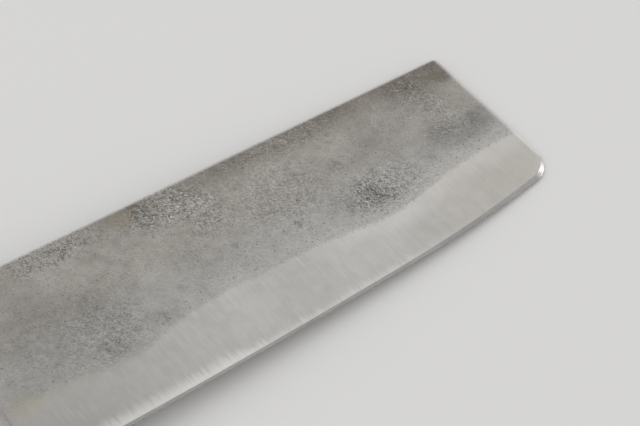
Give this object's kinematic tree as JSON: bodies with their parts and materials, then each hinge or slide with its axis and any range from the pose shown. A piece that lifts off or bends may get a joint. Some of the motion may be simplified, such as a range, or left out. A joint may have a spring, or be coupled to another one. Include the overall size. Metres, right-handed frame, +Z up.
{
  "type": "nakiri knife",
  "caption": "Nakiri vegetable knife: straight three-layer blade with a pear-skin face and ground bevels, tang set in an eight-sided wooden handle with a horn collar.",
  "frame": {"origin": "on the table under the middle of the knife's box, as it lies on its left side", "axes": "+X along the knife towards the blade's tip, +Y from the cutting edge towards the spine, +Z up, out of the table and roughly out of the blade's right face"},
  "size_m": [0.3052, 0.0562, 0.0251],
  "materials": {
    "core_steel": "satin, ground",
    "cladding_steel": "pear-skin forged face over a satin ground bevel",
    "horn": "polished dark horn",
    "magnolia_wood": "bare sanded wood",
    "adhesive": "set adhesive"
  },
  "bodies": {
    "root": {"hard_core": "core_steel", "right_cladding": "cladding_steel", "left_cladding": "cladding_steel", "ferrule": "horn", "handle_grip": "magnolia_wood", "tang_adhesive": "adhesive"}
  },
  "joints": []
}
